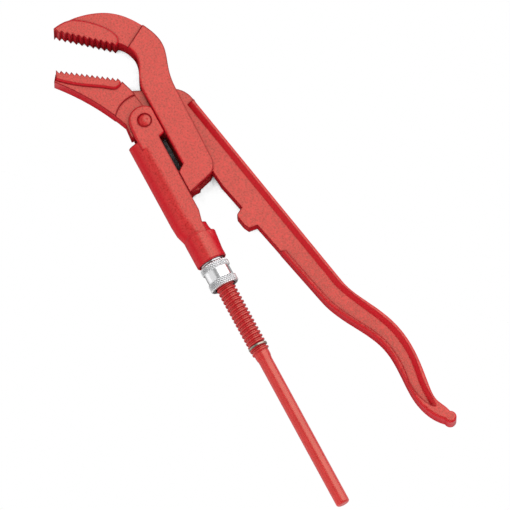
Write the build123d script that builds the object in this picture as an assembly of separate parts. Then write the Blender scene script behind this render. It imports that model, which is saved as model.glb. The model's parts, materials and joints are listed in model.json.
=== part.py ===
from build123d import *
import os
from math import cos, hypot, pi, radians, sin

# Pipe wrench with slanted jaws. A hook jaw stands on a threaded spindle, a sleeve slides on both
# and is moved by a knurled nut, and a lever with the lower jaw swings on a rivet in the sleeve.
# Frame: X along the spindle, from the jaws to the handle ends; Y from the spindle towards the lever;
# Z out of the flat side. The origin is the centre of the gripped pipe, on the spindle's axis.
# All lengths are in millimetres and all angles in degrees.

# Running clearances
SLIDE_GAP = 0.3
PIVOT_GAP = 0.06
THREAD_GAP = 0.25
SEAT_GAP = 0.02

# Half thicknesses of the layers
CHEEK_HALF = 8.0
ARM_HALF = 6.6
TOOTH_HALF = 7.6
JAW_HALF = 5.8
NECK_HALF = 4.0
HUB_HALF = 4.5
RIM_HALF = 6.2

# Pivot of the lever, seen from the grip centre
PIVOT_X = 42.4
PIVOT_Y = 3.8
RIVET_R = 4.0
RIVET_DISH_R = 2.6
RIVET_DISH_DEPTH = 0.7

# Travel of the sleeve along the spindle
TRAVEL_OPEN = 20.0
TRAVEL_CLOSE = 15.0
STOP_GAP = 0.7

# Guide sleeve
LOBE_R = 8.8
LOBE_EDGE = 7.1
LOBE_TAIL = 12.4
LOBE_STEP = 1.3
LOBE_ROUND = 1.2
SPINE_START = 9.6
SPINE_MIDDLE = 1.0
SPINE_REACH = 10.0
SLEEVE_EDGE = 6.8
NECK_LENGTH = 6.5
NECK_EDGE = 5.2
NECK_MIDDLE = -0.4
NECK_REACH = 11.0
ROOT_REACH = 9.2
CHEEK_OVERLAP = 6.0
CHEEK_BACK = 5.6
CHANNEL_SPARE = 2.0
COLLAR_ROOT = 7.0
COLLAR_LENGTH = 16.5
COLLAR_R = 9.0
COLLAR_FLARE = 6.0
COLLAR_CHAMFER = 0.5
SHOULDER_OFFSET = 2.8
SHOULDER_R = 7.5
SHOULDER_ROUND = 0.8
BORE_R = 5.9

# Nut and the ring that keeps it in the collar
NUT_GAP = 1.0
NUT_LENGTH = 15.0
NUT_R = 8.6
NUT_WAIST_R = 7.7
NUT_FLANGE = 4.6
NUT_CHAMFER = 0.6
NUT_NECK_R = 7.1
NUT_NECK_LENGTH = 6.0
NUT_RELIEF_R = 6.0
KNURL_TEETH = 40
KNURL_DEPTH = 0.4
RING_WIRE_R = 0.5
RING_FROM_END = 3.6

# Spindle
THREAD_R = 5.5
THREAD_DEPTH = 1.0
THREAD_PITCH = 2.5
THREAD_ROOT_WIDTH = 1.9
THREAD_TIP_WIDTH = 0.7
THREAD_SINK = 0.2
THREAD_LEAD_IN = 6.0
THREAD_TAIL = 26.0
STOP_RING_WIDTH = 1.3
STOP_RING_R = 5.7
STOP_GROOVE_R = 4.0
STOP_RING_FROM_END = 7.0
SHANK_R = 5.2
ROD_R = 4.0
ROD_LENGTH = 97.5
ROD_ROUND = 1.5
SPIGOT_R = 3.9
SPIGOT_LENGTH = 13.0
CROSS_PIN_R = 1.3
CROSS_PIN_REACH = 5.2

# Teeth of both jaws
TOOTH_HEIGHT = 1.7
TOOTH_LEAN = 0.25
GUM = 2.2
BLOCK_CHAMFER = 0.8
UPPER_TEETH = 12
UPPER_PITCH = 3.27
UPPER_ANGLE = 49.2
LOWER_TEETH = 13
LOWER_PITCH = 2.94
LOWER_ANGLE = 54.4

# Hook jaw
SHANK_WIDTH = 16.1
SHANK_TAPER = 1.0
SHANK_SHOULDER = 36.0
FOOT_LENGTH = 16.5
FOOT_SLANT = 2.9
FOOT_CORNER = 7.5
FOOT_DROP = 4.6
FOOT_SHOULDER = 12.0
TONGUE_RISE = 6.5
BOSS_R = 5.6
SLOT_TOP = 5.5
EDGE_ROUND = 0.9
THROAT_ROUND = 1.0
THROAT_END = 27.0

# Hook jaw: outline points seen from the grip centre
UPPER_INNER = (-3.6, 10.25)
ARM_TIP = (-30.0, -13.0)
ARM_BACK = ((-30.3, -7.1), (-25.6, 12.2), (-9.0, 28.6), (8.0, 33.8), (22.5, 29.9))
THROAT = ((0.2, 15.8), (6.2, 17.2), (12.0, 16.0), (17.5, 13.4), (22.5, 11.7))
STEP_OUTER = (-8.0, 29.0)
STEP_INNER = (-0.2, 15.8)
UPPER_BLOCK = ((-29.8, -16.6), (-30.5, -11.5), (-30.0, -6.5), (-27.2, -1.2), (-23.2, 3.8), (-17.8, 8.8),
               (-11.3, 12.6), (-7.4, 13.2))

# Lever
HANDLE_ANGLE = 10.5
BACK_LINE = 30.0
RIM_WIDTH = 1.8
RIM_ROUND = 1.4
BACK_RIM_SLOPE = 2.6
FRONT_RIM_SLOPE = 0.8
RECESS_R = 16.7
HUB_R = 8.6
HUB_PAD_R = 6.8

# Lever: outline points of the jaw, seen from the rivet
LOWER_INNER = (-27.8, -0.1)
JAW_CORNER = (-26.8, -0.3)
JAW_NECK = (-19.7, 2.0)
JAW_ROOT = (-9.4, 3.5)
JAW_HEEL = (6.0, -4.0)
JAW_TAIL = (5.2, -10.8)
JAW_BELLY = (-3.2, -10.1)
JAW_BOW = (-19.4, -17.6)
JAW_CHIN = (-44.2, -34.6)
LOWER_BLOCK = ((-44.8, -33.2), (-39.5, -27.6), (-33.1, -18.9), (-26.6, -9.2), (-24.4, -5.4), (-24.6, -3.4))

# Lever: outline points of the neck and the handle, along and across the handle from the rivet
NECK_TOP = (-4.7, 26.0)
NECK_BUMP = (-0.4, 28.9)
BACK_START = 8.0
STRAIGHT_END = 142.0
BACK_CURVE = ((162.0, 34.0), (183.0, 38.3), (207.0, 35.2), (222.0, 30.4))
BACK_END = ((230.0, 28.9), (240.0, 30.7))
HANDLE_TIP = (246.4, 28.7)
FRONT_END = ((242.5, 25.2), (236.5, 21.9))
FRONT_CURVE = ((222.0, 19.9), (207.0, 22.6), (187.0, 25.3), (160.0, 18.1))
FRONT_STRAIGHT = (141.0, 14.8)
FRONT_START = (56.0, 11.6)
NECK_UNDER = ((30.2, 11.2), (17.2, 7.0), (10.4, 3.0))
LUG = ((73.4, 13.0), (75.2, 7.8), (76.8, 7.0), (82.5, 7.0), (85.8, 8.0), (87.2, 12.6), (84.5, 15.5),
       (74.4, 14.5))
POCKET_TOP = 7.0
POCKET_END_RIM = (233.4, 26.0)
POCKET_END_WEB = (230.0, 24.0)
POCKET_MOUTH = (103.0, 6.0)
POCKET_LIP = 109.0

# Stations along the sleeve, the hook's foot and the spindle
LOBE_STEP_X = PIVOT_X + LOBE_TAIL
SPINE_X = PIVOT_X + SPINE_START
FOOT_X = LOBE_STEP_X + TRAVEL_OPEN + STOP_GAP
FOOT_END = FOOT_X + FOOT_LENGTH
CHANNEL_END = FOOT_END + TRAVEL_CLOSE + CHANNEL_SPARE
COLLAR_X = CHANNEL_END + COLLAR_ROOT
COLLAR_END = COLLAR_X + COLLAR_LENGTH
NUT_X = COLLAR_END + NUT_GAP
NUT_END = NUT_X + NUT_LENGTH
THREAD_START = NUT_X - TRAVEL_CLOSE - THREAD_LEAD_IN
THREAD_END = NUT_END + TRAVEL_OPEN + THREAD_TAIL
ROD_END = THREAD_END + ROD_LENGTH
STOP_RING_X = THREAD_END - STOP_RING_FROM_END
RING_X = COLLAR_END - RING_FROM_END
CROSS_PIN_X = FOOT_END - SPIGOT_LENGTH / 2

# Edges that slide on each other, and sizes that follow from a fit
SHANK_INNER = PIVOT_Y + LOBE_EDGE + SLIDE_GAP
SHANK_OUTER = SHANK_INNER + SHANK_WIDTH
FOOT_EDGE = SLEEVE_EDGE + SLIDE_GAP
TONGUE_TOP = FOOT_EDGE + SLIDE_GAP
SLOT_HALF = NECK_HALF + SLIDE_GAP
CLEVIS_HALF = HUB_HALF + SLIDE_GAP
ROOT_R = THREAD_R - THREAD_DEPTH
RING_R = NUT_NECK_R + SLIDE_GAP / 2

# Length that reaches past every piece, for cuts
FAR = 400.0


def plate(outline, half):
    """A flat outline made solid, with its middle on the plane z = 0."""
    return extrude(outline, half, both=True)


def cheeks(outline, inner_half, outer_half):
    """The same outline as two plates, one on each side of a gap."""
    upper = Pos(0, 0, inner_half) * extrude(outline, outer_half - inner_half)
    return upper + mirror(upper, Plane.XY)


def rod(radius, start, end):
    """A cylinder along the spindle's axis from one station to another."""
    return Pos((start + end) / 2, 0, 0) * Rot(0, 90, 0) * Cylinder(radius, end - start)


def tube(outer, inner, start, end):
    """A hollow cylinder along the spindle's axis."""
    return rod(outer, start, end) - rod(inner, start - FAR, end + FAR)


def across_x(x):
    """The plane square to the spindle at a station, with Y to the right and Z up."""
    return Plane((x, 0, 0), x_dir=(0, 1, 0), z_dir=(1, 0, 0))


def rims(part, half):
    """The edges of the two flat faces at z = half and z = -half."""
    return part.edges().filter_by(lambda e: abs(abs(e.center().Z) - half) < SEAT_GAP)


def by_rivet(point):
    """A point given from the rivet, in the part's frame."""
    return (PIVOT_X + point[0], PIVOT_Y + point[1])


def by_handle(point):
    """A point given along and across the handle from the rivet, in the part's frame."""
    turn = radians(HANDLE_ANGLE)
    along, across = point
    return by_rivet((along * cos(turn) - across * sin(turn), along * sin(turn) + across * cos(turn)))


def shifted(points, inset):
    """Handle points moved across the handle by an inset."""
    return [(along, across + inset) for along, across in points]


def row_point(inner, angle, along, depth, side):
    """A point of a tooth row: its distance from the throat end, and its depth below the tips."""
    turn = radians(angle)
    return (inner[0] - along * cos(turn) - side * depth * sin(turn),
            inner[1] - along * sin(turn) + side * depth * cos(turn))


def row_length(count, pitch, lean):
    """Distance from the throat end of a tooth row to its last tip."""
    return (count - 1 + lean) * pitch


def tooth_block(inner, angle, count, pitch, lean, side, edge):
    """Toothed block of a jaw: saw teeth on one side and a smooth edge along the jaw on the other."""
    saw = []
    for i in range(count):
        saw.append(row_point(inner, angle, i * pitch, TOOTH_HEIGHT, side))
        saw.append(row_point(inner, angle, (i + lean) * pitch, 0, side))
    back = Spline(*edge, saw[0])
    block = plate(make_face(Curve() + [Polyline(*saw, edge[0]), back]), TOOTH_HALF)
    return chamfer(rims(block, TOOTH_HALF).filter_by(GeomType.BSPLINE), BLOCK_CHAMFER)


def hook_outline():
    """Side view of the hook jaw without its teeth and its tongue."""
    gum_inner = row_point(UPPER_INNER, UPPER_ANGLE, 0, GUM, 1)
    row = row_length(UPPER_TEETH, UPPER_PITCH, TOOTH_LEAN)
    gum_tip = row_point(UPPER_INNER, UPPER_ANGLE, row, GUM, 1)
    shoulder = (SHANK_SHOULDER, SHANK_OUTER + SHANK_TAPER)
    foot_side = (FOOT_END - FOOT_DROP, SHANK_OUTER - FOOT_DROP)
    foot_round = (FOOT_END - FOOT_CORNER, SHANK_OUTER - FOOT_DROP / 3)
    foot_back = (FOOT_END - FOOT_SHOULDER, SHANK_OUTER)
    throat_end = (THROAT_END, SHANK_INNER)
    throat = Spline(gum_inner, *THROAT, throat_end)
    front = Polyline(throat_end, (FOOT_X, SHANK_INNER), (FOOT_X + FOOT_SLANT, FOOT_EDGE),
                     (FOOT_END, FOOT_EDGE), foot_side)
    corner = ThreePointArc(foot_side, foot_round, foot_back)
    back = Line(foot_back, shoulder)
    arm = Spline(shoulder, *reversed(ARM_BACK), ARM_TIP, tangents=((-1, 0), (0, -1)))
    tip = Polyline(ARM_TIP, gum_tip, gum_inner)
    return make_face(Curve() + [throat, front, corner, back, arm, tip])


def step_side(side):
    """All of the plane on one side of the step between the arm and the shank."""
    run = (STEP_INNER[0] - STEP_OUTER[0], STEP_INNER[1] - STEP_OUTER[1])
    size = hypot(*run)
    along = (run[0] / size * FAR, run[1] / size * FAR)
    across = (-along[1] * side, along[0] * side)
    start = (STEP_OUTER[0] - along[0], STEP_OUTER[1] - along[1])
    end = (STEP_OUTER[0] + along[0], STEP_OUTER[1] + along[1])
    return make_face(Polyline(start, end, (end[0] + across[0], end[1] + across[1]),
                              (start[0] + across[0], start[1] + across[1]), close=True))


def make_hook_jaw():
    """Toothed arm, slotted shank, and a foot whose tongue carries the spindle."""
    outline = hook_outline()
    arm = plate(outline & step_side(-1), ARM_HALF)
    arm = fillet(rims(arm, ARM_HALF).sort_by(SortBy.LENGTH)[-2:], EDGE_ROUND)
    shank = plate(outline & step_side(1), CHEEK_HALF)
    curved = rims(shank, CHEEK_HALF).filter_by(GeomType.BSPLINE)
    throat = curved.filter_by(lambda e: e.center().Y < SHANK_INNER + SHANK_WIDTH / 2)
    shank = fillet(throat, THROAT_ROUND)
    block = tooth_block(UPPER_INNER, UPPER_ANGLE, UPPER_TEETH, UPPER_PITCH, TOOTH_LEAN, 1, UPPER_BLOCK)
    slot = make_face(Polyline((SLOT_TOP, -FAR), (SLOT_TOP, FAR), (FOOT_END + FAR, FAR),
                              (FOOT_END, TONGUE_TOP + TONGUE_RISE), (FOOT_X, TONGUE_TOP), (FOOT_X, -FAR),
                              close=True))
    tongue = make_face(Polyline((FOOT_X, 0), (FOOT_X, TONGUE_TOP), (FOOT_END, TONGUE_TOP + TONGUE_RISE),
                                (FOOT_END, 0), close=True))
    jaw = arm + shank + block - plate(slot, SLOT_HALF)
    jaw += plate(tongue, NECK_HALF) + rod(BOSS_R, FOOT_X, FOOT_END)
    jaw -= rod(SPIGOT_R + SEAT_GAP, FOOT_END - SPIGOT_LENGTH, FOOT_END + SPIGOT_LENGTH)
    return jaw - Pos(CROSS_PIN_X, 0, 0) * Cylinder(CROSS_PIN_R + SEAT_GAP, FAR)


def thread_ridge(start, end, spare):
    """Helical ridge of the thread between two stations, with spare room all round.

    Every ridge lies on the one helix that starts at THREAD_START, so the nut's groove, made with
    spare room, is in mesh with the spindle's ridge.
    """
    first = int((start - THREAD_START) // THREAD_PITCH)
    turns = int((end - THREAD_START) // THREAD_PITCH) - first
    slope = (THREAD_ROOT_WIDTH - THREAD_TIP_WIDTH) / 2 / THREAD_DEPTH
    half_tip = THREAD_TIP_WIDTH / 2 + spare
    half_root = half_tip + slope * (THREAD_DEPTH + THREAD_SINK)
    top = THREAD_R + spare
    low = top - THREAD_DEPTH - THREAD_SINK
    profile = Plane.XZ * make_face(Polyline((low, -half_root), (top, -half_tip), (top, half_tip),
                                            (low, half_root), close=True))
    ridge = sweep(profile, path=Helix(THREAD_PITCH, turns * THREAD_PITCH, ROOT_R), is_frenet=True)
    return Pos(THREAD_START + first * THREAD_PITCH, 0, 0) * Rot(0, 90, 0) * ridge


def make_spindle():
    """Spigot, threaded shank and plain rod handle in one piece."""
    spindle = rod(ROOT_R, FOOT_END, THREAD_END) + thread_ridge(THREAD_START, THREAD_END, 0)
    handle = rod(ROD_R, THREAD_END - THREAD_PITCH, ROD_END)
    handle = fillet(handle.edges().group_by(Axis.X)[-1], ROD_ROUND)
    spindle += handle + rod(SHANK_R, FOOT_END, THREAD_START)
    spindle += rod(SPIGOT_R, FOOT_END - SPIGOT_LENGTH, FOOT_END + SPIGOT_LENGTH)
    groove_end = STOP_RING_X + STOP_RING_WIDTH + SEAT_GAP
    spindle -= tube(FAR, STOP_GROOVE_R, STOP_RING_X - SEAT_GAP, groove_end)
    return spindle - Pos(CROSS_PIN_X, 0, 0) * Cylinder(CROSS_PIN_R + SEAT_GAP, FAR)


def make_cross_pin():
    """Pin through the hook's boss and the spindle's spigot."""
    return Pos(CROSS_PIN_X, 0, 0) * Cylinder(CROSS_PIN_R, 2 * CROSS_PIN_REACH)


def make_stop_ring():
    """Bare ring in a groove near the end of the thread."""
    return tube(STOP_RING_R, STOP_GROOVE_R + SEAT_GAP, STOP_RING_X, STOP_RING_X + STOP_RING_WIDTH)


def sleeve_section(x, middle, reach, edge):
    """Cross-section of the sleeve: flat sides, and a spine of two shoulder arcs and a nose arc."""
    half = sin(radians(45))
    shoulder_r = (reach * half - CHEEK_HALF * (1 - half)) / (2 * half - 1)
    nose_r = (CHEEK_HALF * half - reach * (1 - half)) / (2 * half - 1)
    upper = JernArc((-middle, CHEEK_HALF), (-1, 0), shoulder_r, 45)
    nose = JernArc(upper @ 1, upper % 1, nose_r, 90)
    lower = JernArc(nose @ 1, nose % 1, shoulder_r, 45)
    front = Polyline(lower @ 1, (edge, -CHEEK_HALF), (edge, CHEEK_HALF), (-middle, CHEEK_HALF))
    return across_x(x) * make_face(Curve() + [upper, nose, lower, front])


def clevis_outline():
    """Side view of a clevis cheek: a lobe round the rivet that runs down into the channel."""
    top = PIVOT_Y + LOBE_EDGE
    run = make_face(Polyline((PIVOT_X, top), (LOBE_STEP_X - LOBE_STEP, top), (LOBE_STEP_X, SLEEVE_EDGE),
                             (SPINE_X + CHEEK_OVERLAP, SLEEVE_EDGE), (SPINE_X + CHEEK_OVERLAP, -CHEEK_BACK),
                             (SPINE_X, -CHEEK_BACK), (PIVOT_X, PIVOT_Y - LOBE_R), close=True))
    beyond = make_face(Polyline((-FAR, top), (FAR, top), (FAR, FAR), (-FAR, FAR), close=True))
    return Pos(PIVOT_X, PIVOT_Y) * Circle(LOBE_R) + run - beyond


def collar_half(start_r, full_r, end_r):
    """Half section of a round collar: a hollow flare out of the channel, then a taper to the nut."""
    flare_x = COLLAR_X - COLLAR_FLARE
    bend = (COLLAR_X - COLLAR_FLARE / 3, start_r + (full_r - start_r) / 3)
    flare = ThreePointArc((flare_x, start_r), bend, (COLLAR_X, full_r))
    wall = Polyline((COLLAR_X, full_r), (COLLAR_END, end_r), (COLLAR_END, 0))
    axis = Polyline((COLLAR_END, 0), (flare_x, 0), (flare_x, start_r))
    return make_face(Curve() + [flare, wall, axis])


def make_collar():
    """Round collar with a shoulder that stands out towards the lever."""
    collar = revolve(collar_half(CHEEK_HALF, COLLAR_R, COLLAR_R), Axis.X)
    collar = chamfer(collar.edges().group_by(Axis.X)[-1], COLLAR_CHAMFER)
    foot_r = COLLAR_R - COLLAR_CHAMFER - SHOULDER_OFFSET
    half = collar_half(NECK_EDGE - SHOULDER_OFFSET, SHOULDER_R, foot_r)
    shoulder = Pos(0, SHOULDER_OFFSET) * revolve(half, Axis.X)
    crest = shoulder.edges().filter_by(GeomType.CIRCLE).sort_by(SortBy.RADIUS)[-1]
    return collar + fillet(crest, SHOULDER_ROUND)


def ring_groove(outer, inner, spare):
    """Square groove at the retaining ring's station."""
    half = RING_WIRE_R + spare
    return tube(outer, inner, RING_X - half, RING_X + half)


def make_guide_sleeve():
    """Clevis, open channel and round collar in one piece."""
    root_x = COLLAR_X - COLLAR_FLARE
    neck_x = root_x - NECK_LENGTH
    run = sleeve_section(SPINE_X, SPINE_MIDDLE, SPINE_REACH, SLEEVE_EDGE)
    run_end = sleeve_section(neck_x, SPINE_MIDDLE, SPINE_REACH, SLEEVE_EDGE)
    neck_end = sleeve_section(root_x, NECK_MIDDLE, NECK_REACH, NECK_EDGE)
    root_end = sleeve_section(COLLAR_X, NECK_MIDDLE, ROOT_REACH, NECK_EDGE)
    channel = extrude(run, neck_x - SPINE_X)
    neck = loft([run_end, neck_end, root_end], ruled=True)
    clevis = cheeks(clevis_outline(), CLEVIS_HALF, CHEEK_HALF)
    clevis = fillet(rims(clevis, CHEEK_HALF), LOBE_ROUND)
    sleeve = channel + neck + make_collar() + clevis
    slot = Pos((SPINE_X + CHANNEL_END) / 2, FAR / 2, 0) * Box(CHANNEL_END - SPINE_X, FAR, 2 * SLOT_HALF)
    sleeve -= rod(BORE_R, LOBE_STEP_X, COLLAR_END + NUT_GAP) + slot
    sleeve -= rod(NUT_NECK_R + SLIDE_GAP, COLLAR_END - NUT_NECK_LENGTH - SLIDE_GAP, COLLAR_END + NUT_GAP)
    sleeve -= ring_groove(RING_R + RING_WIRE_R + SEAT_GAP, NUT_NECK_R, SEAT_GAP)
    return sleeve - Pos(PIVOT_X, PIVOT_Y, 0) * Cylinder(RIVET_R, FAR)


def make_retaining_ring():
    """Wire ring, half in the collar's groove and half in the groove of the nut's neck."""
    return Pos(RING_X, 0, 0) * Rot(0, 90, 0) * Torus(RING_R, RING_WIRE_R)


def make_pivot_rivet():
    """Rivet, flush with the clevis, with a dished end on each side."""
    rivet = Pos(PIVOT_X, PIVOT_Y, 0) * Cylinder(RIVET_R, 2 * CHEEK_HALF)
    ball = (RIVET_DISH_R ** 2 + RIVET_DISH_DEPTH ** 2) / (2 * RIVET_DISH_DEPTH)
    rise = CHEEK_HALF + ball - RIVET_DISH_DEPTH
    for side in (1, -1):
        rivet -= Pos(PIVOT_X, PIVOT_Y, side * rise) * Sphere(ball)
    return rivet


def knurled(start, end):
    """Flange with a toothed rim between two stations."""
    points = []
    for i in range(2 * KNURL_TEETH):
        radius = NUT_R - KNURL_DEPTH * (i % 2)
        points.append((radius * cos(i * pi / KNURL_TEETH), radius * sin(i * pi / KNURL_TEETH)))
    flange = extrude(across_x(start) * make_face(Polyline(*points, close=True)), end - start)
    blank = rod(NUT_R + KNURL_DEPTH, start, end)
    return flange & chamfer(blank.edges().filter_by(GeomType.CIRCLE), NUT_CHAMFER + KNURL_DEPTH)


def make_adjusting_nut():
    """Nut with two knurled flanges, a waist, and a neck that turns in the collar."""
    nut = rod(NUT_WAIST_R, NUT_X, NUT_END)
    nut += knurled(NUT_X, NUT_X + NUT_FLANGE) + knurled(NUT_END - NUT_FLANGE, NUT_END)
    nut += rod(NUT_NECK_R, COLLAR_END - NUT_NECK_LENGTH, NUT_X)
    nut -= ring_groove(FAR, RING_R - RING_WIRE_R - SLIDE_GAP / 2, SLIDE_GAP / 2)
    nut -= rod(ROOT_R + THREAD_GAP, NUT_X - FAR, NUT_END + FAR)
    nut -= rod(NUT_RELIEF_R, COLLAR_END - NUT_NECK_LENGTH - NUT_GAP, COLLAR_END)
    return nut - thread_ridge(COLLAR_END - THREAD_PITCH, NUT_END + 2 * THREAD_PITCH, THREAD_GAP)


def handle_outline():
    """Side view of the neck and the handle, from the lower jaw round the handle's end and back."""
    ahead = Vector(1, 0).rotate(Axis.Z, HANDLE_ANGLE)
    back_start = by_handle((BACK_START, BACK_LINE))
    back_end = by_handle((STRAIGHT_END, BACK_LINE))
    back_points = [by_handle(p) for p in BACK_CURVE + BACK_END]
    front_points = [by_handle(p) for p in FRONT_END + FRONT_CURVE]
    straight = by_handle(FRONT_STRAIGHT)
    rise = Line(by_rivet(JAW_NECK), by_handle(NECK_TOP))
    bump = ThreePointArc(by_handle(NECK_TOP), by_handle(NECK_BUMP), back_start)
    back = Line(back_start, back_end)
    back_curve = Spline(back_end, *back_points, tangents=(ahead, ahead))
    end = ThreePointArc(back_points[-1], by_handle(HANDLE_TIP), front_points[0])
    front_curve = Spline(*front_points, straight)
    front = Line(straight, by_handle(FRONT_START))
    under = Spline(by_handle(FRONT_START), *[by_handle(p) for p in NECK_UNDER])
    home = Polyline(by_handle(NECK_UNDER[-1]), by_rivet((0, 0)), by_rivet(JAW_NECK))
    return make_face(Curve() + [rise, bump, back, back_curve, end, front_curve, front, under, home])


def pocket_outline(z):
    """Outline at height z of what is cut from the handle's side, with walls that slope to the rims."""
    depth = (RIM_HALF - z) / (RIM_HALF - NECK_HALF)
    back_inset = RIM_WIDTH + BACK_RIM_SLOPE * depth
    front_inset = RIM_WIDTH + FRONT_RIM_SLOPE * depth
    lip_share = (POCKET_LIP - FRONT_START[0]) / (FRONT_STRAIGHT[0] - FRONT_START[0])
    lip = (POCKET_LIP, FRONT_START[1] + lip_share * (FRONT_STRAIGHT[1] - FRONT_START[1]))
    end = Vector(*POCKET_END_RIM) * (1 - depth) + Vector(*POCKET_END_WEB) * depth
    back = shifted(((POCKET_TOP, BACK_LINE), (STRAIGHT_END, BACK_LINE)) + BACK_CURVE, -back_inset)
    front = shifted(FRONT_CURVE + (FRONT_STRAIGHT, lip), front_inset)
    open_side = [POCKET_MOUTH, (POCKET_MOUTH[0], -FAR), (-FAR, -FAR), (-FAR, FAR), (POCKET_TOP, FAR)]
    back = [by_handle(p) for p in back]
    front = [by_handle(p) for p in front]
    curve = Spline(*back[1:], by_handle((end.X, end.Y)), *front[:-1])
    rest = Polyline(*front[-2:], *[by_handle(p) for p in open_side], back[0])
    return Pos(0, 0, z) * make_face(Curve() + [Line(*back[:2]), curve, rest])


def make_lever():
    """Lower jaw, neck through the hook's slot, and handle with raised rims, in one piece."""
    handle = plate(handle_outline(), RIM_HALF)
    below_clevis = rims(handle, RIM_HALF).filter_by(lambda e: e.center().X > LOBE_STEP_X)
    handle = fillet(below_clevis, RIM_ROUND)
    pocket = loft([pocket_outline(NECK_HALF), pocket_outline(RIM_HALF + SLIDE_GAP)], ruled=True)
    handle -= pocket + mirror(pocket, Plane.XY)
    lug = make_face(Polyline(*[by_handle(p) for p in LUG], close=True))

    inner = by_rivet(LOWER_INNER)
    row = row_length(LOWER_TEETH, LOWER_PITCH, 1 - TOOTH_LEAN)
    gum_inner = row_point(inner, LOWER_ANGLE, 0, GUM, -1)
    gum_tip = row_point(inner, LOWER_ANGLE, row, GUM, -1)
    belly = ThreePointArc(by_rivet(JAW_BELLY), by_rivet(JAW_BOW), by_rivet(JAW_CHIN))
    upper = Polyline(by_rivet(JAW_CHIN), gum_tip, gum_inner, by_rivet(JAW_CORNER), by_rivet(JAW_NECK),
                     by_rivet(JAW_ROOT), by_rivet(JAW_HEEL), by_rivet(JAW_TAIL), by_rivet(JAW_BELLY))
    outline = make_face(Curve() + [belly, upper])
    at_rivet = Pos(PIVOT_X, PIVOT_Y, 0)
    jaw = plate(outline, JAW_HALF)
    jaw -= at_rivet * (Cylinder(RECESS_R, FAR) - Cylinder(RECESS_R + NECK_HALF, 2 * HUB_HALF))
    edge = [by_rivet(p) for p in LOWER_BLOCK]
    jaw += tooth_block(inner, LOWER_ANGLE, LOWER_TEETH, LOWER_PITCH, 1 - TOOTH_LEAN, -1, edge)

    hub = at_rivet * (Cylinder(HUB_R, 2 * NECK_HALF) + Cylinder(HUB_PAD_R, 2 * HUB_HALF))
    lever = handle + plate(lug, NECK_HALF) + jaw + hub
    return lever - at_rivet * Cylinder(RIVET_R + PIVOT_GAP, FAR)


PIECES = {
    "hook_jaw": make_hook_jaw,
    "spindle": make_spindle,
    "spindle_cross_pin": make_cross_pin,
    "spindle_stop_ring": make_stop_ring,
    "guide_sleeve": make_guide_sleeve,
    "nut_retaining_ring": make_retaining_ring,
    "pivot_rivet": make_pivot_rivet,
    "adjusting_nut": make_adjusting_nut,
    "lever": make_lever,
}

os.makedirs("parts", exist_ok=True)
for name, make in PIECES.items():
    piece = make()
    export_step(piece, f"parts/{name}.step")
    print(name, len(piece.solids()), round(piece.volume, 1))
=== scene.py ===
# %% [markdown]
# # Pipe wrench with slanted jaws
# This wrench is made of forgings: a hook jaw, a sleeve and a lever, all dipped in red paint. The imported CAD
# model already has their shapes, so the forgings stay as they are and get their finish here. The turned
# pieces (spindle, knurled nut, stop ring and rivet) have fine rounded detail that a few formulas describe
# better than a CAD mesh does, so they are worked out below and stand in for their CAD nodes.

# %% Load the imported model
import json
from math import cos, pi, radians, sin

import bpy
import numpy as np
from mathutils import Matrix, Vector


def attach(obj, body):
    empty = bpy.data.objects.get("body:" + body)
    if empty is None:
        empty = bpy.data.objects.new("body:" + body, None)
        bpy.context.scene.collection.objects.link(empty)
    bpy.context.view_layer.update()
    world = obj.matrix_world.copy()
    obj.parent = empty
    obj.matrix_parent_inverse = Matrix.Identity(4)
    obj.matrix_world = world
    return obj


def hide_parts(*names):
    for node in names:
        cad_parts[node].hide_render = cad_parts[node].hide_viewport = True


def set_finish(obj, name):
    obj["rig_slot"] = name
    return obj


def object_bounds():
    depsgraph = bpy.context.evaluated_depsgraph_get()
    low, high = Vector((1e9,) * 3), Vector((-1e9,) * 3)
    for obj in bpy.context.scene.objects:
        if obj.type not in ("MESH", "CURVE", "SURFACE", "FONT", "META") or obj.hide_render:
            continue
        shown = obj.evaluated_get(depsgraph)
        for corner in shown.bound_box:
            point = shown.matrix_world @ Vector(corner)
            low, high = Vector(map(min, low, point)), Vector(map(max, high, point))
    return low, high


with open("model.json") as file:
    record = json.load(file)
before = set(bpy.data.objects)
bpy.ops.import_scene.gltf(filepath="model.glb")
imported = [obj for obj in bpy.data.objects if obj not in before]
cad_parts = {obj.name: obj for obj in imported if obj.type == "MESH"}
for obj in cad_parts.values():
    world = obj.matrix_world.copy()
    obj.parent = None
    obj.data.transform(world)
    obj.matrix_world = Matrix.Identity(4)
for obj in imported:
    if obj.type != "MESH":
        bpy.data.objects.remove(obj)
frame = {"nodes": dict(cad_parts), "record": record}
cad_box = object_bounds()
MM = 0.001
print("nodes:", sorted(frame["nodes"]))

# %% [markdown]
# ## Camera
# The photograph looks down on the flat side of the wrench from the handle end, and its lines hardly converge,
# so the lens is very long and stands far away. The direction is set by an azimuth and an elevation, and the
# distance follows from the width of the picture at the wrench.

# %% Place the camera
AZIMUTH, ELEVATION = radians(62.34), radians(74.0)
VIEW_CENTRE = Vector((139.8, 23.5, 0.0)) * MM
VIEW_WIDTH = 288.15 * MM
LENS, SENSOR = 1000.0, 36.0

back = Vector((sin(AZIMUTH) * cos(ELEVATION), -cos(AZIMUTH) * cos(ELEVATION), sin(ELEVATION)))
distance = VIEW_WIDTH * LENS / SENSOR
camera = bpy.data.objects.new("camera", bpy.data.cameras.new("camera"))
camera.data.lens = LENS
camera.data.sensor_width = SENSOR
camera.location = VIEW_CENTRE + back * distance
camera.rotation_mode = "QUATERNION"
camera.rotation_quaternion = back.to_track_quat("Z", "Y")
bpy.context.scene.collection.objects.link(camera)
bpy.context.scene.camera = camera
print("camera distance:", round(distance, 2), "m")

# %% [markdown]
# ## Surfaces from rings
# Every turned piece is a stack of rings. A ring is one row of points round an axis, and the rows follow each
# other along the piece. Rows and columns make a grid, and each cell of the grid is one face. A stack either
# closes on itself, like the section of a nut, or ends in a pole at both ends, like a rod.

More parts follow.
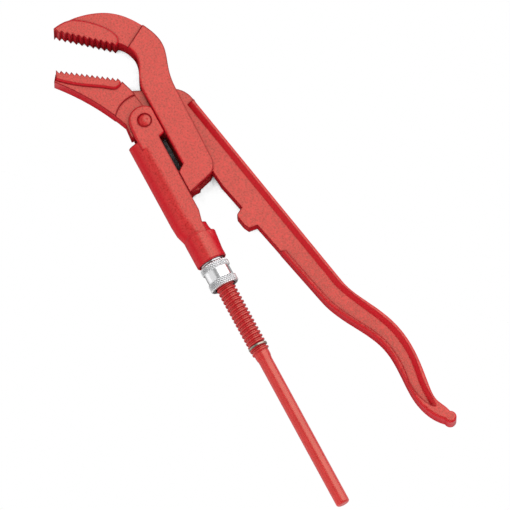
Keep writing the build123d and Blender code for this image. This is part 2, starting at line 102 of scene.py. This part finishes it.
# %% Helper: a closed surface from a grid of points
def ring_surface(name, points, ends, crease=35):
    """Mesh of a grid of points (rows, columns, 3) whose columns close into rings.

    With ends="poles" the first and last rows close in their middle points; with ends="joined" the last row
    is joined to the first. Faces are turned outwards by the sign of the enclosed volume, which is the sum
    of a . (b x c) / 6 over the corners a, b, c of all triangles. An edge sharper than the crease, in
    degrees, keeps a hard shading.
    """
    rows, columns = points.shape[:2]
    index = np.arange(rows * columns).reshape(rows, columns)
    ahead = np.roll(index, -1, axis=1)
    above, above_ahead = np.roll(index, -1, axis=0), np.roll(ahead, -1, axis=0)
    last = rows if ends == "joined" else rows - 1
    quads = np.stack([index, ahead, above_ahead, above], axis=-1)[:last].reshape(-1, 4)
    places = points.reshape(-1, 3)
    triangles = np.empty((0, 3), int)
    if ends == "poles":
        places = np.vstack([places, points[0].mean(0), points[-1].mean(0)])
        low, high = np.full(columns, len(places) - 2), np.full(columns, len(places) - 1)
        triangles = np.vstack([np.stack([ahead[0], index[0], low], -1),
                               np.stack([index[-1], ahead[-1], high], -1)])
    halves = np.vstack([quads[:, :3], quads[:, [0, 2, 3]], triangles])
    a, b, c = (places[halves[:, i]] for i in range(3))
    if (a * np.cross(b, c)).sum() < 0:
        quads, triangles = quads[:, ::-1], triangles[:, ::-1]
    mesh = bpy.data.meshes.new(name)
    mesh.from_pydata(places, [], quads.tolist() + triangles.tolist())
    mesh.shade_smooth()
    mesh.set_sharp_from_angle(angle=radians(crease))
    piece = bpy.data.objects.new(name, mesh)
    bpy.context.scene.collection.objects.link(piece)
    print(name, len(mesh.polygons), "faces")
    return piece


# %% Helpers: easing and turning
def smooth_step(t):
    """Eases from 0 to 1 as t goes from 0 to 1: 3 t^2 - 2 t^3."""
    t = np.clip(t, 0, 1)
    return t * t * (3 - 2 * t)


def turn_shares(count):
    """The given number of equal shares of one turn, from 0 to just before 1."""
    return np.arange(count) / count


def round_x(x, radius, turn):
    """Points at the height x along the spindle and the given radius; a turn of 0 points down, along -Z."""
    angle = 2 * pi * turn
    return np.stack([x, radius * np.sin(angle), -radius * np.cos(angle)], axis=-1) * MM


print("the step a quarter of the way:", smooth_step(0.25))

# %% [markdown]
# ## Spindle
# The spindle is a coarse trapezoid thread that runs out into a plain rod, the second handle. One surface
# holds both: its radius is the root radius plus the height of the ridge at that place along the axis and that
# turn. The ridge follows the same helix as the CAD model, and the nut's bore clears it.

# %% Thread of the spindle
THREAD_START, THREAD_STOP, PITCH = 112.5, 192.5, 2.5
ROOT_R, RIDGE, ROOT_WIDTH, TIP_WIDTH = 4.5, 1.0, 1.95, 0.6
FADE_TURNS = 1 / 3


def thread_height(x, turn):
    """Height of the ridge over the root.

    The ridge's middle line is x = start + pitch * turns. The height falls from full to none between half
    the tip width and half the root width from that line, with eased corners, and the ridge sinks into the
    root over the last third of a turn.
    """
    along = (x - THREAD_START) / PITCH - turn
    off_line = np.abs(along - np.round(along)) * PITCH
    flank = (ROOT_WIDTH - TIP_WIDTH) / 2
    height = smooth_step((ROOT_WIDTH / 2 - off_line) / flank)
    turns = turn + np.round(along)
    turns_left = (THREAD_STOP - THREAD_START) / PITCH - turns
    on_thread = (turns > 0) & (x >= THREAD_START)
    return RIDGE * height * smooth_step(turns_left / FADE_TURNS) * on_thread


print("turns of thread:", (THREAD_STOP - THREAD_START) / PITCH)

# %% Spindle surface
SPIGOT_START, SPIGOT_R = 79.0, 3.9
SHANK_START, SHANK_R = 92.0, 5.2
ROD_START, ROD_END, ROD_R, ROD_ROUND = 194.5, 292.0, 4.0, 1.5
RUN_OUT, RUN_OUT_FIRST = 3.0, 0.2
RING_START, RING_WIDTH, RING_R, GROOVE_R = 187.5, 1.3, 5.7, 4.0
RING_STOP = RING_START + RING_WIDTH
JUMP = 0.01
THREAD_ROWS, RUN_OUT_ROWS, ROD_ROWS, BEND_ROWS, SPINDLE_COLUMNS = 525, 12, 24, 9, 56


def make_spindle():
    """Rows along the axis, close together on the thread, each with the radius of its stretch plus the ridge.

    Where the radius jumps, two rows lie close together. The run-out eases from the root to the rod, and the
    rod's end is a quarter circle: r (1 - sin b) short of the end and r (1 - cos b) inside the rod.
    """
    groove = (RING_START - JUMP, RING_START, RING_STOP, RING_STOP + JUMP)
    thread = np.union1d(np.linspace(THREAD_START, ROD_START, THREAD_ROWS), groove)
    run_out = np.linspace(ROD_START + RUN_OUT_FIRST, ROD_START + RUN_OUT, RUN_OUT_ROWS)
    bend = np.linspace(0, pi / 2, BEND_ROWS)[1:]
    stretches = (
        (np.array((SPIGOT_START, SHANK_START - JUMP)), SPIGOT_R),
        (np.array((SHANK_START, THREAD_START - JUMP)), SHANK_R),
        (thread, ROOT_R),
        (run_out, ROOT_R + (ROD_R - ROOT_R) * smooth_step((run_out - ROD_START) / RUN_OUT)),
        (np.linspace(run_out[-1] + 1, ROD_END - ROD_ROUND, ROD_ROWS), ROD_R),
        (ROD_END - ROD_ROUND * (1 - np.sin(bend)), ROD_R - ROD_ROUND * (1 - np.cos(bend))))
    x = np.concatenate([rows for rows, _ in stretches])
    base = np.concatenate([np.broadcast_to(radius, rows.shape) for rows, radius in stretches])
    x, turn = np.meshgrid(x, turn_shares(SPINDLE_COLUMNS), indexing="ij")
    in_groove = (x >= RING_START) & (x <= RING_STOP)
    radius = np.where(in_groove, GROOVE_R, base[:, None] + thread_height(x, turn))
    return ring_surface("threaded_spindle", round_x(x, radius, turn), "poles", crease=50)


spindle = make_spindle()
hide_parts("spindle")
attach(spindle, "hook")
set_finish(spindle, "red_paint")

# %% [markdown]
# ## Adjusting nut
# The nut has two knurled flanges with a waist between them, and a neck that turns in the sleeve's collar. Its
# section is a closed loop of corners, walked in small steps, and the knurl is cut where the section runs
# along a flange. A diamond knurl is two families of helical grooves that cross: the height at a point is the
# smaller of its distances to the nearest groove of each family. Just outside the collar the neck is relieved
# and the first flange stands back a little, which leaves the gap that shows above the nut, dark from its own
# shade and from the painted shade of the plating.

# %% Section of the nut
NECK_X, NECK_R, BORE_R, BORE_EDGE = 126.5, 7.1, 5.8, 0.5
KEEPER_X, KEEPER_HALF, KEEPER_R = 128.9, 0.65, 6.6
NUT_X, NUT_END, NUT_R, NUT_EDGE = 133.5, 148.5, 8.6, 0.6
FACE_GAP, RELIEF_R = 0.6, 6.4
FLANGE, WAIST_R = 4.6, 7.7


def nut_section():
    """Corners of the nut's section (x, radius), from the neck's bore round the outside and back."""
    keeper_1, keeper_2 = KEEPER_X - KEEPER_HALF, KEEPER_X + KEEPER_HALF
    face, flange_1, flange_2 = NUT_X + FACE_GAP, NUT_X + FLANGE, NUT_END - FLANGE
    neck = [(NECK_X, BORE_R), (NECK_X, NECK_R), (keeper_1, NECK_R), (keeper_1, KEEPER_R),
            (keeper_2, KEEPER_R), (keeper_2, NECK_R), (NUT_X, NECK_R)]
    gap = [(NUT_X, RELIEF_R), (face, RELIEF_R), (face, NUT_R - NUT_EDGE)]
    outside = [(face + NUT_EDGE, NUT_R), (flange_1 - NUT_EDGE, NUT_R), (flange_1, WAIST_R),
               (flange_2, WAIST_R), (flange_2 + NUT_EDGE, NUT_R), (NUT_END - NUT_EDGE, NUT_R)]
    mouth = [(NUT_END, NUT_R - NUT_EDGE), (NUT_END, BORE_R + BORE_EDGE), (NUT_END - BORE_EDGE, BORE_R)]
    return np.array(neck + gap + outside + mouth)


def walk(corners, step):
    """Points along a closed line of corners, no further apart than the step."""
    ends = np.roll(corners, -1, axis=0)
    counts = np.maximum(1, np.ceil(np.linalg.norm(ends - corners, axis=1) / step).astype(int))
    share = np.concatenate([np.arange(n) / n for n in counts])[:, None]
    return np.repeat(corners, counts, axis=0) * (1 - share) + np.repeat(ends, counts, axis=0) * share


print("corners of the section:", len(nut_section()))

# %% Nut surface
KNURL_COUNT, KNURL_LEAD = 34, 1.7
KNURL_DEPTH, KNURL_SLOPE, KNURL_FOOT = 0.55, 1.5, 0.2
NUT_STEP, NUT_COLUMNS = 0.22, 340


def groove_distance(phase):
    """0 on a groove and 1 half way to the next one, for grooves at whole phases."""
    return 2 * np.abs(phase - np.round(phase))


def make_nut():
    """The section turned round the spindle, less the knurl on the two flanges.

    The cut is depth * (1 - slope * height), never less than nothing. It fades in between a foot over the
    waist and the full radius of the flanges.
    """
    section = walk(nut_section(), NUT_STEP)
    x, turn = np.meshgrid(section[:, 0], turn_shares(NUT_COLUMNS), indexing="ij")
    radius = np.broadcast_to(section[:, 1:], x.shape)
    height = np.minimum(groove_distance(turn * KNURL_COUNT + x / KNURL_LEAD),
                        groove_distance(turn * KNURL_COUNT - x / KNURL_LEAD))
    cut = KNURL_DEPTH * (1 - np.clip(height * KNURL_SLOPE, 0, 1))
    foot = WAIST_R + KNURL_FOOT
    on_flange = smooth_step((radius - foot) / (NUT_R - foot))
    return ring_surface("knurled_nut", round_x(x, radius - cut * on_flange, turn), "joined", crease=32)


nut = make_nut()
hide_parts("adjusting_nut")
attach(nut, "nut")
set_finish(nut, "bright_plating")

# %% [markdown]
# ## Stop ring and rivet
# The bare ring near the end of the thread is a bent wire, so its section is a rounded square. The rivet is
# upset at both ends: a low dome whose top lies beside the middle and is flush with the cheeks, with a dent.

# %% Stop ring surface
WIRE_ROWS, RING_COLUMNS = 28, 72


def soften(wave):
    """Pushes a wave towards its ends, which squares a circle: sign(w) * sqrt(|w|)."""
    return np.sign(wave) * np.sqrt(np.abs(wave))


def make_stop_ring():
    """Rounded square section, a * soften(cos t) along and b * soften(sin t) across, turned round X."""
    lap = 2 * pi * turn_shares(WIRE_ROWS)
    along = RING_START + RING_WIDTH / 2 * (1 + soften(np.cos(lap)))
    across = (RING_R + GROOVE_R) / 2 + (RING_R - GROOVE_R) / 2 * soften(np.sin(lap))
    x, turn = np.meshgrid(along, turn_shares(RING_COLUMNS), indexing="ij")
    return ring_surface("stop_ring", round_x(x, across[:, None], turn), "joined")


stop_ring = make_stop_ring()
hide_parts("spindle_stop_ring")
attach(stop_ring, "hook")
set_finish(stop_ring, "bare_steel")

# %% Rivet surface
RIVET_X, RIVET_Y, RIVET_R, CHEEK_HALF = 42.4, 3.8, 4.0, 8.0
APEX_Y, DOME_DROP, DOME_POWER = 0.8, 0.03, 2.5
DENT_Y, DENT_DEPTH, DENT_R = 1.4, 0.3, 0.6
RIVET_ROWS, RIVET_COLUMNS, POLE_R = 28, 72, 0.1


def make_rivet():
    """Two domed faces with their top beside the rivet's axis, where a hammer struck it last.

    At the distance d from the top of the dome the height is top - drop * d^power, less the dent,
    depth * exp(-(e / r)^2) at the distance e from the dent's middle.
    """
    out, angle = np.meshgrid(np.linspace(POLE_R, RIVET_R, RIVET_ROWS), 2 * pi * turn_shares(RIVET_COLUMNS),
                             indexing="ij")
    x, y = out * np.cos(angle), out * np.sin(angle)
    dome = DOME_DROP * np.hypot(x, y - APEX_Y) ** DOME_POWER
    dent = DENT_DEPTH * np.exp(-(x ** 2 + (y - DENT_Y) ** 2) / DENT_R ** 2)
    top = np.stack([RIVET_X + x, RIVET_Y + y, CHEEK_HALF - dome - dent], axis=-1)
    bottom = top[::-1] * (1, 1, -1)
    return ring_surface("dished_rivet", np.concatenate([top, bottom]) * MM, "poles")


rivet = make_rivet()
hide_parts("pivot_rivet")
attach(rivet, "sleeve")
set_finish(rivet, "red_paint")

# %% [markdown]
# ## Helpers for materials
# Each finish is a small tree of nodes. One helper adds a node and fills its inputs, with a constant or with
# what comes out of an earlier node, so that a finish reads from top to bottom. The others are short words for
# the steps that every finish repeats.

# %% Helper: a tree of nodes
def start_tree(owner):
    """Clears the nodes of a material or a world and gives a function that adds one.

    The function takes the kind of node, its inputs and its settings. An input goes by its name, or by its
    place where two inputs share a name. Its value is a constant, or an output socket to link.
    """
    owner.use_nodes = True
    tree = owner.node_tree
    tree.nodes.clear()

    def add(kind, inputs=None, **settings):
        node = tree.nodes.new("ShaderNode" + kind)
        for key, value in settings.items():
            setattr(node, key, value)
        for key, value in (inputs or {}).items():
            if isinstance(value, bpy.types.NodeSocket):
                tree.links.new(value, node.inputs[key])
            else:
                node.inputs[key].default_value = value
        return node

    return add


print("materials so far:", len(bpy.data.materials))

# %% Helpers: steps that repeat
def noise(add, place, scale, detail, roughness):
    """Value of a noise at the given place."""
    made = add("TexNoise", {"Vector": place, "Scale": scale, "Detail": detail, "Roughness": roughness})
    return made.outputs["Fac"]


def ramp(add, value, *stops):
    """Colour that follows a value through the given (position, colour) stops."""
    made = add("ValToRGB", {"Fac": value})
    elements = made.color_ramp.elements
    while len(elements) < len(stops):
        elements.new(0.5)
    for element, (position, colour) in zip(elements, stops):
        element.position = position
        element.color = (*colour, 1.0)
    return made.outputs["Color"]


def remap(add, value, given, wanted):
    """Carries a value from the given range onto the wanted one, and stops at its ends."""
    made = add("MapRange", {"Value": value, "From Min": given[0], "From Max": given[1],
                            "To Min": wanted[0], "To Max": wanted[1]})
    return made.outputs["Result"]


def cover(add, under, colour, share):
    """Lays a colour over another by the given share."""
    made = add("Mix", {"A": under, "B": (*colour, 1.0), "Factor": share}, data_type="RGBA")
    return made.outputs["Result"]


def larger(add, first, second):
    """The larger of two values."""
    return add("Math", {0: first, 1: second}, operation="MAXIMUM").outputs["Value"]


def openness(add, reach, samples=8):
    """How open the space over a point is within the given reach: 1 is open and 0 is shut."""
    return add("AmbientOcclusion", {"Distance": reach}, samples=samples).outputs["AO"]


def rounded_normal(add, radius, samples=8):
    """The normal as it would be if every edge had the given radius."""
    return add("Bevel", {"Radius": radius}, samples=samples).outputs["Normal"]


STEPS = (noise, ramp, remap, cover, larger, openness, rounded_normal)
print("steps:", ", ".join(step.__name__ for step in STEPS))

# %% [markdown]
# ## Red paint
# The paint is a satin red dip coat over rough forgings. Close up it shows a fine grain and a slow wander in
# tone. The flat faces mirror the softbox and look pale, while the walls round them are given a deeper red as
# painted shade and a duller sheen, so a mask tells how far a face leans from the flat. A second mask finds
# the corners, where little sky is open, and paints shade there as a dark red with less sheen. A third finds
# the edges, which are never sharp on a forging: there a widely rounded normal turns away from the true one,
# and a dark red painted there stands in for the shade on the rounded edge. A smaller rounding softens the
# shading itself. The spindle was turned smooth, so its coat has less grain, more shine and less painted
# shade, and the roots of its thread stay brighter than the deep corners.

# %% Paint finish
RED_LOW, RED_HIGH = (0.52, 0.018, 0.021), (0.56, 0.022, 0.025)
SPECK_LOW, SPECK_HIGH = (0.76, 0.62, 0.62), (1.16, 1.36, 1.36)
# Painted shade: the three dark reds below are laid into the coat's colour in corners, on sides and at edges.
CORNER_PAINTED_SHADE, SIDE_PAINTED_SHADE, EDGE_PAINTED_SHADE = (0.15, 0.002, 0.006), (0.5, 0.008, 0.018), (0.22, 0.004, 0.01)
SHEEN_TINT = (1.0, 0.97, 0.73)
EDGE_DEPTH, DULL_SHINE, FULL_MASK = 0.8, 0.15, 0.8
CORNER_REACH, EDGE_REACH, SHADE_RADIUS = 2.0 * MM, 1.8 * MM, 0.9 * MM
FORGE_NOISE, GRAIN_NOISE = (170.0, 4.0, 0.55), (900.0, 2.0, 0.6)
WAVE_HEIGHT, PIT_HEIGHT = 0.6 * MM, 0.2 * MM


def make_paint(name, corner_shade_depth, side_shade_depth, shine, grain_depth):
    """Red coat: tone and grain from two noises, then painted shade: a deeper, duller red in corners, on sides
    and at edges.

    The depths of corners and sides are the most that those masks count, shine is the specular level where
    no mask does, and the depth of the grain is its share from none to full.
    """
    paint = bpy.data.materials.new(name)
    add = start_tree(paint)
    place = add("TexCoord").outputs["Object"]
    forge = noise(add, place, *FORGE_NOISE)
    grain = noise(add, place, *GRAIN_NOISE)
    tone = ramp(add, forge, (0.35, RED_LOW), (0.65, RED_HIGH))
    speck = ramp(add, grain, (0.36, SPECK_LOW), (0.64, SPECK_HIGH))
    speckled = add("Mix", {"A": tone, "B": speck, "Factor": grain_depth}, data_type="RGBA",
                   blend_type="MULTIPLY")

    true_normal = add("NewGeometry").outputs["Normal"]
    upright = add("SeparateXYZ", {"Vector": true_normal}).outputs["Z"]
    flatness = add("Math", {0: upright}, operation="ABSOLUTE").outputs["Value"]
    wide_normal = rounded_normal(add, EDGE_REACH)
    evenness = add("VectorMath", {0: wide_normal, 1: true_normal}, operation="DOT_PRODUCT").outputs["Value"]
    # Painted shade: a dark red in corners where little sky is open, a deeper red on faces that lean from the
    # flat, and a dark red on rounded edges; the same masks dull the sheen.
    corner = remap(add, openness(add, CORNER_REACH), (0.15, 0.85), (corner_shade_depth, 0.0))
    side = remap(add, flatness, (0.99, 0.75), (0.0, side_shade_depth))
    edge = remap(add, evenness, (0.985, 0.87), (0.0, EDGE_DEPTH))
    colour = cover(add, speckled.outputs["Result"], CORNER_PAINTED_SHADE, corner)
    colour = cover(add, colour, SIDE_PAINTED_SHADE, side)
    colour = cover(add, colour, EDGE_PAINTED_SHADE, edge)
    masked = larger(add, larger(add, side, edge), corner)

    waves = add("Bump", {"Height": forge, "Normal": rounded_normal(add, SHADE_RADIUS),
                         "Strength": 0.06, "Distance": WAVE_HEIGHT})
    pits = add("Bump", {"Height": grain, "Normal": waves.outputs["Normal"],
                        "Strength": 0.35 * grain_depth, "Distance": PIT_HEIGHT})
    coat = add("BsdfPrincipled", {
        "Base Color": colour,
        "Roughness": remap(add, grain, (0.3, 0.7), (0.25, 0.36)),
        "Specular IOR Level": remap(add, masked, (0.0, FULL_MASK), (shine, DULL_SHINE)),
        "Specular Tint": (*SHEEN_TINT, 1.0),
        "Normal": pits.outputs["Normal"]})
    add("OutputMaterial", {"Surface": coat.outputs["BSDF"]})
    return paint


red_paint = make_paint("red_satin_paint", corner_shade_depth=0.6, side_shade_depth=0.8, shine=0.7, grain_depth=1.0)
spindle_paint = make_paint("red_spindle_paint", corner_shade_depth=0.45, side_shade_depth=0.3, shine=1.0, grain_depth=0.3)
print("finishes:", red_paint.name, spindle_paint.name)

# %% [markdown]
# ## Bright plating and bare steel
# The nut is plated bright and nearly white, and painted shade greys the grooves between its diamonds and
# darkens the gap above it. The ring and the hidden pins are plain drawn steel, a little warmer and rougher,
# with fine lines round the wire and the same painted shade in their grooves.

# %% Metal finishes
LINE_NOISE, CROSS_SCALE = (1.0, 4.0, 0.6), 300.0
WORN_RADIUS, SCRATCH_HEIGHT = 0.2 * MM, 0.1 * MM


def make_metal(name, light, dark, metallic, roughness, groove, line_scale):
    """Metal with painted shade that darkens its tone in grooves of the given reach, and fine lines that
    follow the turning.
    """
    metal = bpy.data.materials.new(name)
    add = start_tree(metal)
    place = add("TexCoord").outputs["Object"]
    squeezed = add("Mapping", {"Vector": place, "Scale": (line_scale, CROSS_SCALE, CROSS_SCALE)})
    lines = noise(add, squeezed.outputs["Vector"], *LINE_NOISE)
    scratch = add("Bump", {"Height": lines, "Normal": rounded_normal(add, WORN_RADIUS, samples=6),
                           "Strength": 0.1, "Distance": SCRATCH_HEIGHT})
    body = add("BsdfPrincipled", {
        # Painted shade: the tone falls to the dark colour where little sky is open within the groove's reach.
        "Base Color": ramp(add, openness(add, groove), (0.3, dark), (0.8, light)),
        "Metallic": metallic,
        "Roughness": remap(add, lines, (0.3, 0.7), (roughness - 0.05, roughness + 0.08)),
        "Normal": scratch.outputs["Normal"]})
    add("OutputMaterial", {"Surface": body.outputs["BSDF"]})
    return metal


plating = make_metal("bright_zinc_plating", light=(0.95, 0.95, 0.96), dark=(0.06, 0.06, 0.065),
                     metallic=0.85, roughness=0.2, groove=2.0 * MM, line_scale=3000.0)
steel = make_metal("drawn_steel", light=(0.4, 0.36, 0.3), dark=(0.12, 0.1, 0.08),
                   metallic=1.0, roughness=0.35, groove=1.5 * MM, line_scale=5000.0)
print("finishes:", plating.name, steel.name)

# %% [markdown]
# ## Finishes on the pieces
# The record names a material slot for every node, so the CAD pieces take their finish by that name. A new
# piece takes the finish of its own slot, apart from the spindle, which has the smoother coat.

# %% Give every piece its finish
FINISH = {"red_paint": red_paint, "bright_plating": plating, "bare_steel": steel}
for part in frame["record"]["subparts"]:
    node = frame["nodes"][part["node"]]
    node.data.materials.clear()
    node.data.materials.append(FINISH[part["material_slot"]])
spindle.data.materials.append(spindle_paint)
for piece in (nut, stop_ring, rivet):
    piece.data.materials.append(FINISH[piece["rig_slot"]])
print("painted:", len(frame["nodes"]), "nodes and 4 new pieces")

# %% [markdown]
# ## Floor
# The photograph is a cut-out on white. The floor is a pale sheet that the camera sees as white, apart from
# the shadow in narrow gaps, where the sky over a point of the floor is nearly shut off.

# %% Lay the floor
FLOOR_GAP, FLOOR_REACH, FLOOR_SHADE = 0.2 * MM, 6.0, 30.0 * MM
FLOOR_GREY, WHITE = (0.8, 0.8, 0.8), (1.0, 1.0, 1.0)
GAP_BLACK, NEAR_WHITE, FOOT_BLACK = (0.006, 0.004, 0.004), (0.97, 0.97, 0.97), (0.02, 0.01, 0.01)


def make_floor_finish():
    """Pale matt sheet that is white to the eye, times the shadow that the wrench keeps on it.

    Seen directly, only narrow gaps are dark. Mirrored in the paint and the metal, the sheet is dark all along
    the foot of the wrench, because there its own sides shut off most of the light.
    """
    sheet = bpy.data.materials.new("pale_floor")
    add = start_tree(sheet)
    rays = add("LightPath").outputs
    sky = openness(add, FLOOR_SHADE, samples=16)
    seen = ramp(add, sky, (0.17, GAP_BLACK), (0.25, NEAR_WHITE), (0.33, WHITE))
    mirrored = ramp(add, sky, (0.6, FOOT_BLACK), (0.97, WHITE))
    shade = add("Mix", {"A": seen, "B": mirrored, "Factor": rays["Is Glossy Ray"]}, data_type="RGBA")
    white = add("Emission", {"Color": shade.outputs["Result"], "Strength": 1.0})
    matt = add("BsdfDiffuse", {"Color": (*FLOOR_GREY, 1.0)})
    direct = larger(add, rays["Is Camera Ray"], rays["Is Transmission Ray"])
    any_view = larger(add, direct, rays["Is Glossy Ray"])
    choose = add("MixShader", {"Fac": any_view, 1: matt.outputs["BSDF"], 2: white.outputs["Emission"]})
    add("OutputMaterial", {"Surface": choose.outputs["Shader"]})
    return sheet


floor_z = cad_box[0].z - FLOOR_GAP
middle = (cad_box[0] + cad_box[1]) / 2
floor_corners = [(middle.x + side_x * FLOOR_REACH, middle.y + side_y * FLOOR_REACH, floor_z)
                 for side_x, side_y in ((-1, -1), (1, -1), (1, 1), (-1, 1))]
floor_mesh = bpy.data.meshes.new("floor")
floor_mesh.from_pydata(floor_corners, [], [(0, 1, 2, 3)])
floor_mesh.materials.append(make_floor_finish())
floor = bpy.data.objects.new("floor", floor_mesh)
bpy.context.scene.collection.objects.link(floor)
print("floor at", round(floor_z / MM, 2), "mm")

# %% [markdown]
# ## Light
# One big softbox hangs on the side that the flat faces mirror to the camera, which gives them their pale
# sheen. A softer one on the left draws a streak along the rounded backs and the nut, and a lamp that leaves
# no mirror image fills the shade from below.

# %% Softboxes
def add_softbox(name, toward, gap, size, radiance, mirrored):
    """Square lamp that looks at the wrench from the given direction; watts = radiance * pi * area.

    A lamp that isn't mirrored only fills the shade and leaves no bright patch in the paint or the metal.
    """
    lamp = bpy.data.lights.new(name, "AREA")
    lamp.shape = "SQUARE"
    lamp.size = size
    lamp.energy = radiance * pi * size * size
    box = bpy.data.objects.new(name, lamp)
    direction = Vector(toward).normalized()
    box.location = middle + direction * gap
    box.rotation_mode = "QUATERNION"
    box.rotation_quaternion = direction.to_track_quat("Z", "Y")
    box.visible_camera = False
    box.visible_glossy = mirrored
    bpy.context.scene.collection.objects.link(box)
    print(name, round(lamp.energy, 1), "W")


add_softbox("key_softbox", (-0.2, 0.7, 0.7), gap=0.8, size=1.55, radiance=1.85, mirrored=True)
add_softbox("low_fill", (0.7, -0.66, 0.35), gap=1.0, size=1.0, radiance=2.9, mirrored=False)
add_softbox("left_fill", (-0.4, -0.86, 0.35), gap=1.0, size=1.3, radiance=0.5, mirrored=True)

# %% [markdown]
# ## World
# The world is white to the camera, like the floor, and gives the wrench only a weak even fill.

# %% Set up the world
WORLD_FILL = 0.2

world = bpy.data.worlds.new("studio")
bpy.context.scene.world = world
add_sky = start_tree(world)
fill = add_sky("Background", {"Color": (*WHITE, 1.0), "Strength": WORLD_FILL})
plain = add_sky("Background", {"Color": (*WHITE, 1.0), "Strength": 1.0})
sky_rays = add_sky("LightPath")
sky_mix = add_sky("MixShader", {"Fac": sky_rays.outputs["Is Camera Ray"], 1: fill.outputs["Background"],
                                2: plain.outputs["Background"]})
add_sky("OutputWorld", {"Surface": sky_mix.outputs["Shader"]})
bpy.context.scene.view_settings.view_transform = "Standard"
print("world fill:", WORLD_FILL)

# %% [markdown]
# ## Sizes
# The new pieces have to stay inside the CAD model's box, and the box of the CAD model is printed.

# %% Size of the CAD model
print("cad box", [[round(v / MM, 2) for v in p] for p in cad_box])
